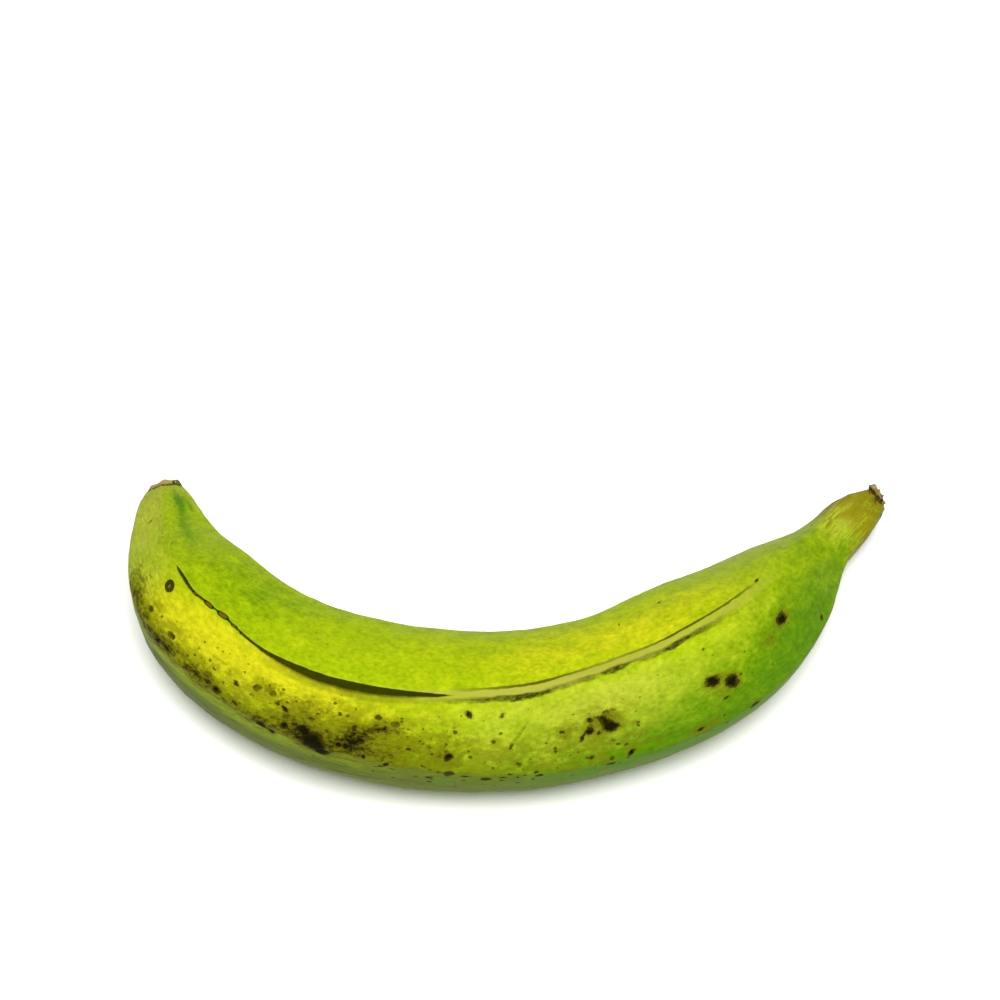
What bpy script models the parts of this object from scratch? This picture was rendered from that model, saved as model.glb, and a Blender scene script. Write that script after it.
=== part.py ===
"""A green plantain, as picked, lying on its side.

The fruit is one grown piece: a long five-sided body that bends through most of
a half circle, a short cut stem at its left end and a dried flower scar at its
right end.  It is one loft.  A centre line is drawn in plan by its heading, and
a five-cornered section with soft corners is carried along it.  The corners are
the five ridges of the fruit.  The floor then cuts three small flat spots.

Lengths are in metres and +Z is up.  X runs along the fruit from stem to flower
scar, and the fruit bends round the space on its +Y side.  The origin is on the
floor under the middle of the fruit's box.
"""

import bmesh
import bpy
import numpy as np

# Centre line: its length, and its heading in plan at fractions of that length
LENGTH = 0.280
HEADING_AT = (0.00, 0.12, 0.25, 0.40, 0.55, 0.70, 0.85, 1.00)
HEADING_DEG = (-80.5, -68.5, -36.5, -9.5, 8.0, 31.0, 52.0, 39.5)
LINE_STEPS = 2000

# Half thickness from the centre line to a ridge, at fractions of the length
THICK_AT = (0.00, 0.03, 0.08, 0.16, 0.27, 0.42, 0.60, 0.74, 0.85, 0.93, 0.975, 1.00)
THICK = (0.0054, 0.0096, 0.0149, 0.0215, 0.0224, 0.0226, 0.0219, 0.0217, 0.0156, 0.0083, 0.0069, 0.0044)

# Ridges: angle round the section, 0 on the outer curve, 90 on top, 180 inside
RIDGE_AT = (0.00, 0.10, 0.20, 0.33, 0.50, 0.70, 0.85, 1.00)
RIDGE_DEG = {
    "outer": (44.0, 44.0, 41.0, 31.0, 20.0, 13.0, 20.0, 34.0),
    "top": (88.5, 87.0, 84.0, 76.5, 80.0, 86.0, 101.0, 122.0),
    "inner": (134.0, 136.0, 146.0, 149.0, 151.0, 153.0, 163.0, 182.0),
    "lower inner": (212.0, 214.0, 220.0, 222.0, 223.0, 223.0, 233.0, 252.0),
    "lower outer": (300.0, 301.0, 299.0, 297.0, 296.0, 296.0, 305.0, 322.0),
}

# How far the section is a five-cornered one (1) and how far a circle (0)
CORNERED_AT = (0.00, 0.08, 0.20, 0.35, 0.55, 0.75, 0.90, 1.00)
CORNERED = (0.95, 0.85, 0.62, 0.48, 0.42, 0.48, 0.62, 0.40)
CORNER_POWER = 9.0

# The raised band along each ridge
CREST_RISE = 0.00045
CREST_HALF_WIDTH = 0.0016
CREST_FACE_SHARE = 0.14

# Rest: the floor presses three flat spots, and both ends lift clear of it
REST_AT = (0.00, 0.09, 0.17, 0.33, 0.50, 0.67, 0.80, 0.91, 1.00)
REST_HEIGHT = (0.0075, 0.0016, -0.0004, 0.0006, -0.0005, 0.0006, -0.0004, 0.0022, 0.0080)

# Cut stem: rings from the rim to the middle, as share of the end and push out
STEM_SHARE = (0.98, 0.89, 0.76, 0.45, 0.18)
STEM_PUSH = (0.0005, 0.0007, 0.0002, -0.0002, 0.0001)
STEM_TILT = 0.05
STEM_TILT_TOWARDS_DEG = 90.0
STEM_WAVES = 4
STEM_WAVE_REACH = 0.03

# Flower scar: a dark neck, then a ragged corky crust that sits to one side.
# Each wave of its edge has a share of the reach, a count round it and a phase.
SCAR_SHARE = (0.90, 0.68, 0.52, 0.62, 0.68, 0.60, 0.38, 0.16)
SCAR_PUSH = (0.0003, 0.0006, 0.0008, 0.0010, 0.0015, 0.0021, 0.0020, 0.0022)
SCAR_RAGGED = (0.00, 0.15, 0.50, 0.90, 1.00, 0.95, 0.80, 0.50)
SCAR_TILT = 0.08
SCAR_SIDE_DEG = 125.0
SCAR_OFF_CENTRE = 0.50
SCAR_WAVES = ((0.09, 3, 0.6), (0.07, 5, 2.1), (0.05, 8, 0.3))

# Mesh: rings along the body and points between one ridge and the next
RINGS = 88
FACE_POINTS = 5
END_CROWDING = 0.45

# Floor block that presses the flat spots
FLOOR_SIZE = (0.30, 0.16, 0.02)

SKIN_COLOUR = (0.34, 0.45, 0.03, 1.0)
SKIN_ROUGHNESS = 0.42
SMOOTH_ANGLE = np.radians(38.0)


def clear_scene():
    """Remove every object that the open file holds."""
    for item in list(bpy.data.objects):
        bpy.data.objects.remove(item, do_unlink=True)


def new_collection(name):
    """Return a new collection linked to the scene."""
    collection = bpy.data.collections.new(name)
    bpy.context.scene.collection.children.link(collection)
    return collection


def smooth_values(stations, values, at):
    """Read a smooth curve through (stations, values) at the places in `at`.

    Each span is a cubic whose slope at a station is the mean slope round it.
    """
    stations = np.asarray(stations, dtype=float)
    values = np.asarray(values, dtype=float)
    slopes = np.gradient(values, stations)
    span = np.clip(np.searchsorted(stations, at, side="right") - 1, 0, len(stations) - 2)
    width = stations[span + 1] - stations[span]
    t = (at - stations[span]) / width
    rise_start = (1 + 2 * t) * (1 - t) ** 2 * values[span]
    rise_end = t**2 * (3 - 2 * t) * values[span + 1]
    lean_start = t * (1 - t) ** 2 * width * slopes[span]
    lean_end = t**2 * (t - 1) * width * slopes[span + 1]
    return rise_start + rise_end + lean_start + lean_end


def ring_stations():
    """Fractions of the length where rings stand, closer together at both ends."""
    even = np.linspace(0.0, 1.0, RINGS)
    crowded = 0.5 - 0.5 * np.cos(np.pi * even)
    return (1 - END_CROWDING) * even + END_CROWDING * crowded


def centre_line(along):
    """Plan points of the centre line, by summing short steps along its heading.

    Returns the points, the direction along the line and the direction to its
    outer side, each as rows of X, Y and Z.
    """
    fine = np.linspace(0.0, 1.0, LINE_STEPS + 1)
    heading = np.radians(smooth_values(HEADING_AT, HEADING_DEG, fine))
    middle = 0.5 * (heading[1:] + heading[:-1])
    step = LENGTH / LINE_STEPS
    x = np.concatenate(([0.0], np.cumsum(np.cos(middle)) * step))
    y = np.concatenate(([0.0], np.cumsum(np.sin(middle)) * step))
    here = np.interp(along, fine, heading)
    flat = np.zeros_like(along)
    points = np.stack((np.interp(along, fine, x), np.interp(along, fine, y), flat), axis=1)
    forward = np.stack((np.cos(here), np.sin(here), flat), axis=1)
    outward = np.stack((np.sin(here), -np.cos(here), flat), axis=1)
    return points, forward, outward


def ridge_angles(along):
    """Angle of each ridge at each station: one row a station, in radians."""
    columns = [smooth_values(RIDGE_AT, degrees, along) for degrees in RIDGE_DEG.values()]
    return np.radians(np.stack(columns, axis=1))


def section_angles(ridges, thick):
    """Angles of a section's points: each ridge, its two shoulders and its faces.

    Every face, from one ridge to the next, gets the same number of points, so
    the mesh lines follow the ridges from end to end.
    """
    following = np.roll(ridges, -1, axis=1)
    following[:, -1] += 2 * np.pi
    gap = following - ridges
    shoulder = np.minimum(CREST_HALF_WIDTH / thick[:, None], CREST_FACE_SHARE * gap)
    across = np.arange(FACE_POINTS + 2) / (FACE_POINTS + 1)
    inside = ridges[:, :, None] + shoulder[:, :, None]
    inside = inside + (gap - 2 * shoulder)[:, :, None] * across
    columns = np.concatenate((ridges[:, :, None], inside), axis=2)
    return columns.reshape(len(ridges), -1)


def five_cornered(angles, ridges):
    """Radius of a five-cornered section with soft corners, 1 at the ridges.

    Each face is a straight line between two ridges.  The soft corner is the
    power mean of the five lines, which rounds them off where they meet.
    """
    following = np.roll(ridges, -1, axis=1)
    following[:, -1] += 2 * np.pi
    normal = 0.5 * (ridges + following)
    distance = np.cos(0.5 * (following - ridges))
    facing = np.cos(angles[:, :, None] - normal[:, None, :]) / distance[:, None, :]
    total = np.sum(np.maximum(facing, 0.0) ** CORNER_POWER, axis=2)
    return (total / 2.0) ** (-1.0 / CORNER_POWER)


def crest_rise(angles, ridges, thick):
    """Height of the raised band: a smooth bump across each ridge."""
    away = angles[:, :, None] - ridges[:, None, :]
    away = np.abs((away + np.pi) % (2 * np.pi) - np.pi).min(axis=2) * thick[:, None]
    return CREST_RISE * np.exp(-((away / CREST_HALF_WIDTH) ** 2))


def body_rings(along):
    """Points of the body: a row of rings, each a row of X, Y and Z points.

    Returns the rings with the direction and the centre of the two end rings.
    """
    centre, forward, outward = centre_line(along)
    thick = smooth_values(THICK_AT, THICK, along)
    ridges = ridge_angles(along)
    angles = section_angles(ridges, thick)
    cornered = smooth_values(CORNERED_AT, CORNERED, along)[:, None]
    shape = 1.0 - cornered * (1.0 - five_cornered(angles, ridges))
    radius = thick[:, None] * shape + crest_rise(angles, ridges, thick)
    up = radius * np.sin(angles)
    lowest = up.min(axis=1)
    centre[:, 2] = smooth_values(REST_AT, REST_HEIGHT, along) - lowest
    rings = centre[:, None, :] + (radius * np.cos(angles))[:, :, None] * outward[:, None, :]
    rings[:, :, 2] += up
    return rings, centre, forward, angles


def end_rings(ring, centre, direction, shares, pushes, tilt, tilt_angle, angles, ragged):
    """Rings that close an end: the last ring shrunk and pushed along `direction`.

    A ring leans by `tilt` times its points' reach towards `tilt_angle`, and
    `ragged` adds its own share of the reach at each point.
    """
    reach = ring - centre
    lean = tilt * np.linalg.norm(reach, axis=1) * np.cos(angles - tilt_angle)
    rings = []
    for share, push, rough in zip(shares, pushes, ragged):
        shrunk = reach * (share * (1.0 + rough))[:, None]
        shift = push + lean * share
        rings.append(centre + shrunk + shift[:, None] * direction)
    return rings


def torn_edge(angles, strength):
    """Uneven reach of the dried crust: shifted to one side, with waves round it."""
    uneven = SCAR_OFF_CENTRE * np.cos(angles - np.radians(SCAR_SIDE_DEG))
    for share, count, phase in SCAR_WAVES:
        uneven = uneven + share * np.sin(count * angles + phase)
    return strength * uneven


def stem_rings(rings, centre, forward, angles):
    """Rings of the cut stem, from its rim to the middle of the cut."""
    around = STEM_WAVES * angles[0]
    ragged = [STEM_WAVE_REACH * np.sin(around + phase) for phase in range(len(STEM_SHARE))]
    return end_rings(
        rings[0], centre[0], -forward[0], STEM_SHARE, STEM_PUSH,
        STEM_TILT, np.radians(STEM_TILT_TOWARDS_DEG), angles[0], ragged,
    )


def scar_rings(rings, centre, forward, angles):
    """Rings of the flower scar, from the neck out over the crust to its middle."""
    ragged = [torn_edge(angles[-1], strength) for strength in SCAR_RAGGED]
    return end_rings(
        rings[-1], centre[-1], forward[-1], SCAR_SHARE, SCAR_PUSH,
        SCAR_TILT, np.radians(SCAR_SIDE_DEG), angles[-1], ragged,
    )


def middle_of_box(points):
    """Plan middle of the box round the points."""
    low = points.min(axis=0)
    high = points.max(axis=0)
    middle = 0.5 * (low + high)
    middle[2] = 0.0
    return middle


def loft_mesh(name, rings):
    """Mesh of a closed loft: quads from ring to ring, and a fan on each end."""
    mesh = bpy.data.meshes.new(name)
    shape = bmesh.new()
    corners = [[shape.verts.new(point) for point in ring] for ring in rings]
    count = len(corners[0])
    for near, far in zip(corners[:-1], corners[1:]):
        for here in range(count):
            there = (here + 1) % count
            shape.faces.new((near[here], near[there], far[there], far[here]))
    for ring in (corners[0], corners[-1]):
        hub = shape.verts.new(sum((corner.co for corner in ring[1:]), ring[0].co) / count)
        for here in range(count):
            shape.faces.new((ring[here], ring[(here + 1) % count], hub))
    bmesh.ops.recalc_face_normals(shape, faces=shape.faces)
    bmesh.ops.triangulate(shape, faces=shape.faces)
    shape.to_mesh(mesh)
    shape.free()
    return mesh


def skin_material():
    """Green peel with a soft shine."""
    material = bpy.data.materials.new("green peel")
    material.use_nodes = True
    shader = material.node_tree.nodes["Principled BSDF"]
    shader.inputs["Base Color"].default_value = SKIN_COLOUR
    shader.inputs["Roughness"].default_value = SKIN_ROUGHNESS
    shader.inputs["Metallic"].default_value = 0.0
    return material


def floor_block(collection):
    """Block whose top is the floor: it presses the flat spots."""
    bpy.ops.mesh.primitive_cube_add(size=1.0, location=(0.0, 0.0, -FLOOR_SIZE[2] / 2))
    block = bpy.context.object
    block.name = "floor_block"
    block.scale = FLOOR_SIZE
    for owner in list(block.users_collection):
        owner.objects.unlink(block)
    collection.objects.link(block)
    block.hide_render = True
    block.display_type = "WIRE"
    return block


def make_fruit(collection, cutters):
    """Build the fruit, set it on the floor and press its flat spots."""
    rings, centre, forward, angles = body_rings(ring_stations())
    stem = stem_rings(rings, centre, forward, angles)
    scar = scar_rings(rings, centre, forward, angles)
    everything = np.array(stem[::-1] + list(rings) + scar)
    everything = everything - middle_of_box(everything.reshape(-1, 3))
    fruit = bpy.data.objects.new("plantain", loft_mesh("plantain", everything))
    collection.objects.link(fruit)
    fruit.data.materials.append(skin_material())
    press = fruit.modifiers.new("flat spots", "BOOLEAN")
    press.operation = "DIFFERENCE"
    press.solver = "EXACT"
    press.object = floor_block(cutters)
    fruit.data.shade_smooth()
    fruit.data.set_sharp_from_angle(angle=SMOOTH_ANGLE)
    return fruit


def main():
    """Clear the file and build the fruit."""
    clear_scene()
    fruit_parts = new_collection("plantain")
    cutters = new_collection("cutters")
    make_fruit(fruit_parts, cutters)


main()
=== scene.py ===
"""Looks of a green plantain that lies on its side on a pale floor.

The fruit is one grown piece, so its skin, its cut stem and its flower scar are
one closed surface, carried along the same centre line and through the same
five-cornered section as the solid.  Marks sit at given places: `along` is
the share of the length from the stem, and `around` is the angle round the
section, 0 on the outer curve, 90 on top and 180 inside.
"""

import logging
from dataclasses import dataclass
from enum import Enum
from itertools import product
from typing import Optional, Union

import bpy
import numpy as np
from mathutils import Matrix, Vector


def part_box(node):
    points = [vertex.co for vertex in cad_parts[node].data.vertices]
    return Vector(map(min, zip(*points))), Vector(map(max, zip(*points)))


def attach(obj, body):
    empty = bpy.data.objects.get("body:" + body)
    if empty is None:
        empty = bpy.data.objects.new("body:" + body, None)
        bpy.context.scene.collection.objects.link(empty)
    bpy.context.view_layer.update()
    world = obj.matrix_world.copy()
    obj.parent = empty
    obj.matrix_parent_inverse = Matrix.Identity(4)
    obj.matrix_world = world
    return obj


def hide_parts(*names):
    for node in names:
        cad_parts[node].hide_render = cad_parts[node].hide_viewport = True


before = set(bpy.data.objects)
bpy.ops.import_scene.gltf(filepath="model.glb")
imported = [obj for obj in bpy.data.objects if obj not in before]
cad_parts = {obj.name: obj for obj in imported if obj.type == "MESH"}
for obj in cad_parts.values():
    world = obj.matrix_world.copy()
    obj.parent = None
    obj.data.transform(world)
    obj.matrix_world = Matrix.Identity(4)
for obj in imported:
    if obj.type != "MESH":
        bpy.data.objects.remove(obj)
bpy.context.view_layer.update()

LOG = logging.getLogger("plantain")

NODE = "plantain"
BODY = "root"
MM = 0.001


@dataclass(frozen=True)
class Shade:
    """A colour as it looks on a screen, in steps from 0 to 255."""

    red: int
    green: int
    blue: int

    def linear(self) -> tuple[float, float, float, float]:
        """The same colour in linear light, by the sRGB curve.

        Returns:
            Red, green and blue, and full cover.
        """
        steps = np.array((self.red, self.green, self.blue)) / 255.0
        low = steps / 12.92
        high = ((steps + 0.055) / 1.055) ** 2.4
        light = np.where(steps <= 0.04045, low, high)
        return (float(light[0]), float(light[1]), float(light[2]), 1.0)


@dataclass(frozen=True)
class Curve:
    """A smooth curve through given stations.

    Each span is a cubic whose slope at a station is the mean slope round it.
    """

    at: tuple[float, ...]
    values: tuple[float, ...]

    def read(self, places: np.ndarray) -> np.ndarray:
        """Read the curve, which is level beyond its first and last station.

        Args:
            places: Where to read it, in the units of the stations.

        Returns:
            One value for each place.
        """
        at = np.asarray(self.at, dtype=float)
        values = np.asarray(self.values, dtype=float)
        slopes = np.gradient(values, at)
        held = np.clip(places, at[0], at[-1])
        span = np.clip(np.searchsorted(at, held, side="right") - 1, 0, len(at) - 2)
        width = at[span + 1] - at[span]
        t = (held - at[span]) / width
        start = (1 + 2 * t) * (1 - t) ** 2 * values[span]
        end = t**2 * (3 - 2 * t) * values[span + 1]
        lean = t * (1 - t) * width * ((1 - t) * slopes[span] - t * slopes[span + 1])
        return start + end + lean


def step(value: np.ndarray, low: float, high: float) -> np.ndarray:
    """Smooth step: 0 up to `low`, 1 from `high`, and t * t * (3 - 2 * t) between.

    Args:
        value: The values to step.
        low: Where the step starts.
        high: Where the step ends.

    Returns:
        The stepped values, from 0 to 1.
    """
    t = np.clip((value - low) / (high - low), 0.0, 1.0)
    return t * t * (3 - 2 * t)


class Seed(Enum):
    """The seed of each random draw, by what it shapes."""

    LUMPS = 11
    FLUTES = 12
    PUCKER = 13
    FIBRES = 21
    TORN_RIM = 22
    CRUST = 31
    CRUST_TOP = 32


class Grain:
    """Smooth seeded noise in space: random values on a lattice, blended between.

    A place's value is the mean of the eight lattice corners round it, each
    weighted by how near it is.
    """

    SIDE = 32
    LAYER_SHIFT = 7.3

    def __init__(self, seed: Seed) -> None:
        """Draw the lattice, each value from -1 to 1."""
        draw = np.random.default_rng(seed.value)
        self.lattice = draw.uniform(-1.0, 1.0, (self.SIDE,) * 3)

    def read(self, places: np.ndarray, layers: int = 1) -> np.ndarray:
        """Read the noise, with finer layers of half the height each.

        Args:
            places: Points in space, in lattice steps.
            layers: How many layers are summed.

        Returns:
            One value for each point, mostly from -1 to 1.
        """
        total = np.zeros(places.shape[:-1])
        for layer in range(layers):
            total += self._one(places * 2.0**layer + self.LAYER_SHIFT * layer) / 2.0**layer
        return total

    def _one(self, places: np.ndarray) -> np.ndarray:
        """Read one layer of the noise.

        Args:
            places: Points in space, in lattice steps.

        Returns:
            One value for each point, from -1 to 1.
        """
        cell = np.floor(places).astype(int)
        t = places - cell
        t = t * t * (3 - 2 * t)
        total = np.zeros(places.shape[:-1])
        for corner in product((0, 1), repeat=3):
            here = (cell + corner) % self.SIDE
            near = np.where(corner, t, 1 - t).prod(axis=-1)
            total += near * self.lattice[here[..., 0], here[..., 1], here[..., 2]]
        return total


class Ridge(Enum):
    """The five ridges, in their order round the section from its lowest one."""

    LOWER_INNER = 0
    LOWER_OUTER = 1
    OUTER = 2
    TOP = 3
    INNER = 4


RIDGE_AT = (0.00, 0.10, 0.20, 0.33, 0.50, 0.70, 0.85, 1.00)
RIDGE_ANGLES = {
    Ridge.LOWER_INNER: (-148.0, -146.0, -140.0, -138.0, -137.0, -137.0, -127.0, -108.0),
    Ridge.LOWER_OUTER: (-60.0, -59.0, -61.0, -63.0, -64.0, -64.0, -55.0, -38.0),
    Ridge.OUTER: (44.0, 44.0, 41.0, 31.0, 20.0, 13.0, 20.0, 34.0),
    Ridge.TOP: (88.5, 87.0, 84.0, 76.5, 80.0, 86.0, 101.0, 122.0),
    Ridge.INNER: (134.0, 136.0, 146.0, 149.0, 151.0, 153.0, 163.0, 182.0),
}


@dataclass(frozen=True)
class FruitShape:
    """The main form of the fruit, with the sizes that its solid has."""

    length: float = 0.280
    heading: Curve = Curve(
        (0.00, 0.12, 0.25, 0.40, 0.55, 0.70, 0.85, 1.00),
        (-80.5, -68.5, -36.5, -9.5, 8.0, 31.0, 52.0, 39.5),
    )
    thick: Curve = Curve(
        (0.00, 0.03, 0.08, 0.16, 0.27, 0.42, 0.60, 0.74, 0.85, 0.93, 0.975, 1.00),
        (0.0054, 0.0096, 0.0149, 0.0215, 0.0224, 0.0226, 0.0219, 0.0217, 0.0156, 0.0083, 0.0069, 0.0044),
    )
    cornered: Curve = Curve(
        (0.00, 0.08, 0.20, 0.35, 0.55, 0.75, 0.90, 1.00),
        (0.95, 0.85, 0.62, 0.48, 0.42, 0.48, 0.62, 0.40),
    )
    corner_power: float = 9.0
    rest: Curve = Curve(
        (0.00, 0.09, 0.17, 0.33, 0.50, 0.67, 0.80, 0.91, 1.00),
        (0.0075, 0.0016, -0.0004, 0.0006, -0.0005, 0.0006, -0.0004, 0.0022, 0.0080),
    )
    crest_rise: float = 0.00045
    crest_half_width: float = 0.0016
    line_steps: int = 2000
    ridge_crowding: float = 0.55

    def centre_line(self, along: np.ndarray) -> tuple[np.ndarray, np.ndarray, np.ndarray]:
        """Centre line in plan: short steps along its heading, summed up.

        Args:
            along: Shares of the length.

        Returns:
            The points, the forward directions and the outward directions.
        """
        fine = np.linspace(0.0, 1.0, self.line_steps + 1)
        heading = np.radians(self.heading.read(fine))
        middle = 0.5 * (heading[1:] + heading[:-1])
        stride = self.length / self.line_steps
        x = np.concatenate(([0.0], np.cumsum(np.cos(middle)) * stride))
        y = np.concatenate(([0.0], np.cumsum(np.sin(middle)) * stride))
        here = np.interp(along, fine, heading)
        flat = np.zeros_like(along)
        points = np.stack((np.interp(along, fine, x), np.interp(along, fine, y), flat), axis=1)
        forward = np.stack((np.cos(here), np.sin(here), flat), axis=1)
        outward = np.stack((np.sin(here), -np.cos(here), flat), axis=1)
        return points, forward, outward

    def ridges(self, along: np.ndarray) -> np.ndarray:
        """Angles of the ridges in radians: a row a station, a column a ridge."""
        columns = [Curve(RIDGE_AT, RIDGE_ANGLES[ridge]).read(along) for ridge in Ridge]
        return np.radians(np.stack(columns, axis=1))

    def angles(self, along: np.ndarray, columns: int) -> np.ndarray:
        """Angles round the section that follow the ridges and crowd near them.

        A face from one ridge to the next has `columns` of them.  Column w of a
        face, from 0 to 1, stands at w - ridge_crowding * sin(2 pi w) / (2 pi).

        Args:
            along: Shares of the length.
            columns: Columns in each face.

        Returns:
            Angles in radians: a row a station.
        """
        ridges = self.ridges(along)
        gap = following(ridges) - ridges
        w = np.arange(columns) / columns
        crowded = w - self.ridge_crowding * np.sin(2 * np.pi * w) / (2 * np.pi)
        grid = ridges[:, :, None] + gap[:, :, None] * crowded
        return grid.reshape(len(along), -1)

    def radius(self, along: np.ndarray, angles: np.ndarray) -> np.ndarray:
        """Distance from the centre line to the smooth skin.

        The section is a blend of a circle and of five straight faces, whose
        corners are rounded by a power mean of the two faces that meet there.  A
        smooth bump crosses each ridge.

        Args:
            along: Shares of the length.
            angles: Angles in radians, a row a share.

        Returns:
            Radii in metres, in the form of `angles`.
        """
        ridges = self.ridges(along)
        after = following(ridges)
        normal = 0.5 * (ridges + after)
        distance = np.cos(0.5 * (after - ridges))
        facing = np.cos(angles[:, :, None] - normal[:, None, :]) / distance[:, None, :]
        total = np.sum(np.maximum(facing, 0.0) ** self.corner_power, axis=2)
        corners = (total / 2.0) ** (-1.0 / self.corner_power)
        share = self.cornered.read(along)[:, None]
        thick = self.thick.read(along)[:, None]
        bump = np.exp(-((nearest(angles, ridges) * thick / self.crest_half_width) ** 2))
        return thick * (1 - share * (1 - corners)) + self.crest_rise * bump


def following(ridges: np.ndarray) -> np.ndarray:
    """Each ridge's next neighbour round the section, one turn on for the last.

    Args:
        ridges: Angles of the ridges in radians, a column a ridge.

    Returns:
        The neighbours' angles, in the same form.
    """
    after = np.roll(ridges, -1, axis=1)
    after[:, -1] += 2 * np.pi
    return after


def wrapped(angle: np.ndarray) -> np.ndarray:
    """An angle in radians brought into the half turn on either side of 0."""
    return (angle + np.pi) % (2 * np.pi) - np.pi


def nearest(angles: np.ndarray, ridges: np.ndarray) -> np.ndarray:
    """Angle from each point to its nearest ridge, in radians."""
    return np.abs(wrapped(angles[:, :, None] - ridges[:, None, :])).min(axis=2)


class Side(Enum):
    """The side of the top ridge that a patch keeps to."""

    BOTH = 0
    OUTER = -1
    INNER = 1


@dataclass(frozen=True)
class Patch:
    """A soft patch of colour on the skin, and how far it spreads.

    Attributes:
        along: Share of the length at its middle.
        around: Angle round the section at its middle, in degrees.
        reach: Half its size along the fruit, in mm.
        width: Half its size round the section, in mm.
        strength: Its height at the middle.
        side: The side of the top ridge that it keeps to.
    """

    along: float
    around: float
    reach: float
    width: float
    strength: float
    side: Side = Side.BOTH


@dataclass(frozen=True)
class Spot:
    """A dark spot with an edge.

    Attributes:
        along: Share of the length at its middle.
        around: Angle round the section at its middle, in degrees.
        reach: Half its longer size, in mm.
        width: Half its shorter size, in mm.
        lean: Angle of the longer size from the length of the fruit, in degrees.
        strength: 1 for a black spot, less for a faint one, more for one that spreads.
    """

    along: float
    around: float
    reach: float
    width: float
    lean: float = 0.0
    strength: float = 1.0


# Signed patches of ripeness: above 0 yellow, below 0 deep green, which on the lowest face is painted
# shade
RIPENESS_AND_LOW_SHADE = (
    Patch(0.25, 66, 28, 9, 0.95, Side.OUTER),
    Patch(0.20, 50, 14, 6, 0.45, Side.OUTER),
    Patch(0.36, 56, 22, 9, 0.50, Side.OUTER),
    Patch(0.33, 106, 14, 7, 0.25, Side.INNER),
    Patch(0.55, 108, 34, 12, 0.40, Side.INNER),
    Patch(0.68, 108, 30, 12, 0.48, Side.INNER),
    Patch(0.58, 68, 18, 5, 0.30, Side.OUTER),
    Patch(0.72, 76, 14, 4, 0.30, Side.OUTER),
    Patch(0.22, 118, 30, 12, -0.40, Side.INNER),
    Patch(0.05, 111, 6, 1.3, -1.20),
    Patch(0.09, 105, 10, 1.6, -0.55),
    Patch(0.055, 123, 5, 0.8, -0.60),
    Patch(0.80, 34, 34, 15, -0.85),
    Patch(0.62, 22, 30, 13, -0.55),
    # Painted shade: deep green along the lowest face, at 8 and -10 degrees
    Patch(0.45, 8, 50, 9, -0.50),
    Patch(0.66, -10, 50, 12, -0.50),
    Patch(0.60, 250, 90, 30, -0.50),
    Patch(0.30, 215, 40, 20, -0.25),
)

# Dull straw green: both ends, and along the outer face
STRAW = (
    Patch(0.07, 55, 20, 12, 0.90, Side.OUTER),
    Patch(0.15, 68, 8, 7, 0.40, Side.OUTER),
    Patch(0.02, 130, 8, 9, 0.40),
    Patch(0.26, 8, 44, 8, 0.60),
    Patch(0.60, 66, 30, 6, 0.60, Side.OUTER),
    Patch(0.50, 40, 24, 10, 0.45, Side.OUTER),
    Patch(0.64, 42, 26, 9, 0.40, Side.OUTER),
    Patch(0.76, 80, 16, 7, 0.35),
    Patch(0.84, 145, 26, 7, 0.45),
    Patch(0.94, 70, 12, 14, 0.40),
    Patch(0.97, 100, 12, 10, 0.40),
    Patch(0.97, 250, 14, 16, 0.60),
    Patch(0.05, 250, 20, 18, 0.60),
)

# Dark khaki on the low outer face, most of all to the left: partly the peel's own dull colour, partly
# painted shade of the underside
KHAKI_AND_PAINTED_SHADE = (
    Patch(0.20, 12, 16, 7, 0.70),
    Patch(0.27, 0, 34, 9, 0.90),
    Patch(0.38, -8, 36, 7, 0.80),
    Patch(0.52, -14, 40, 6, 0.60),
    Patch(0.68, -22, 40, 7, 0.50),
    Patch(0.97, 60, 9, 14, 0.35),
    Patch(0.30, 290, 60, 14, 0.50),
)

# Where the peel is freckled, and where it has fine streaks along its length
FRECKLED = (
    Patch(0.43, 34, 26, 12, 1.10),
    Patch(0.51, 22, 26, 9, 0.90),
    Patch(0.34, 46, 22, 8, 0.95),
    Patch(0.24, 48, 16, 6, 0.90),
    Patch(0.19, 54, 12, 5, 0.80),
    Patch(0.59, 46, 10, 8, 0.80),
    Patch(0.64, 18, 26, 6, 0.60),
    Patch(0.75, 48, 18, 9, 0.45),
    Patch(0.64, 54, 14, 8, 0.30),
    Patch(0.40, 300, 60, 20, 0.35),
    Patch(0.70, 205, 30, 14, 0.45),
)
STREAKED = (
    Patch(0.24, 6, 48, 13, 1.30),
    Patch(0.42, 0, 34, 9, 0.90),
    Patch(0.15, 58, 9, 5, 0.90),
    Patch(0.11, 85, 12, 3, 0.50),
    Patch(0.96, 80, 12, 14, 0.90),
    Patch(0.95, 250, 16, 18, 0.60),
    Patch(0.03, 90, 10, 18, 0.30),
    Patch(0.70, 6, 26, 7, 0.60),
    Patch(0.30, 280, 60, 18, 0.50),
)

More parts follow.
